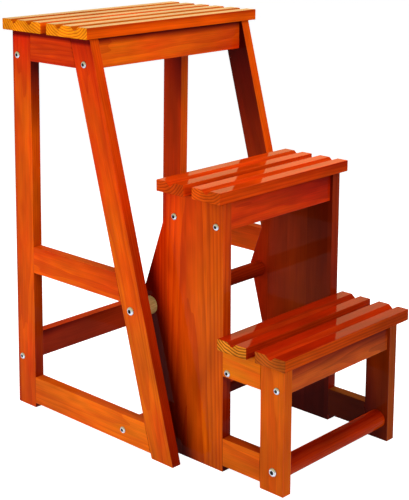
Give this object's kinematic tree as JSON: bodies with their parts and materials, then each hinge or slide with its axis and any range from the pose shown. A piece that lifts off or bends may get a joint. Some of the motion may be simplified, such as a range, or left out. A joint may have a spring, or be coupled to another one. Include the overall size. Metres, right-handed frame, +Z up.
{
  "type": "library step chair",
  "caption": "Wooden library stool with grooved seat and treads, whose lower steps form one unit that turns on a low pivot, up and over, and folds away inside the stool.",
  "frame": {"origin": "on the floor, at the centre of the box round the opened chair, 0.2305 m below the pivot axis", "axes": "+Z up, the steps face -Y, and the pivot axis runs along X"},
  "size_m": [0.384, 0.5666, 0.66],
  "materials": {
    "stained_side": "orange-red stain under gloss varnish, on the legs, rails and side panels",
    "stained_tread": "orange-red stain under gloss varnish, on the seat and step boards",
    "stained_cross": "orange-red stain under gloss varnish, on the aprons, cross rails and dowels",
    "bare_wood": "bare turned wood",
    "zinc_steel": "bright zinc plate",
    "brass": "turned brass, hidden inside the pivot dowel"
  },
  "bodies": {
    "stool": {"rear_leg_left": "stained_side", "rear_leg_right": "stained_side", "front_leg_left": "stained_side", "front_leg_right": "stained_side", "top_rail_left": "stained_side", "top_rail_right": "stained_side", "mid_rail_left": "stained_side", "mid_rail_right": "stained_side", "bottom_rail_left": "stained_side", "bottom_rail_right": "stained_side", "seat_board_rear": "stained_tread", "seat_board_front": "stained_tread", "seat_apron_front": "stained_cross", "seat_apron_rear": "stained_cross", "rear_rail": "stained_cross", "stop_bar": "stained_cross", "pivot_dowel": "stained_cross", "pivot_spacer_left": "bare_wood", "pivot_spacer_right": "bare_wood", "pivot_sleeve_left": "zinc_steel", "pivot_sleeve_right": "zinc_steel", "pivot_insert_left": "brass", "pivot_insert_right": "brass", "bolt_pivot_dowel_left": "zinc_steel", "bolt_pivot_dowel_right": "zinc_steel", "screw_seat_apron_front_left": "zinc_steel", "screw_seat_apron_front_right": "zinc_steel", "screw_seat_apron_rear_left": "zinc_steel", "screw_seat_apron_rear_right": "zinc_steel", "screw_rear_rail_left": "zinc_steel", "screw_rear_rail_right": "zinc_steel", "screw_stop_bar_left": "zinc_steel", "screw_stop_bar_right": "zinc_steel"},
    "steps": {"panel_left": "stained_side", "panel_right": "stained_side", "mid_board_rear": "stained_tread", "mid_board_front": "stained_tread", "mid_apron_front": "stained_cross", "mid_apron_rear": "stained_cross", "low_board_rear": "stained_tread", "low_board_front": "stained_tread", "low_apron_front": "stained_cross", "low_apron_rear": "stained_cross", "low_leg_left": "stained_side", "low_leg_right": "stained_side", "low_top_rail_left": "stained_side", "low_top_rail_right": "stained_side", "low_bottom_rail_left": "stained_side", "low_bottom_rail_right": "stained_side", "low_dowel": "stained_cross", "bolt_low_dowel_left": "zinc_steel", "bolt_low_dowel_right": "zinc_steel", "screw_mid_apron_front_left": "zinc_steel", "screw_mid_apron_front_right": "zinc_steel", "screw_mid_apron_rear_left": "zinc_steel", "screw_mid_apron_rear_right": "zinc_steel", "screw_low_apron_front_left": "zinc_steel", "screw_low_apron_front_right": "zinc_steel", "screw_low_apron_rear_left": "zinc_steel", "screw_low_apron_rear_right": "zinc_steel"}
  },
  "joints": [
    {"name": "steps_fold", "type": "hinge", "parent": "stool", "child": "steps", "pos_m": [0, 0, 0.2305], "axis": [-1, 0, 0], "range_deg": [0, 179]}
  ]
}
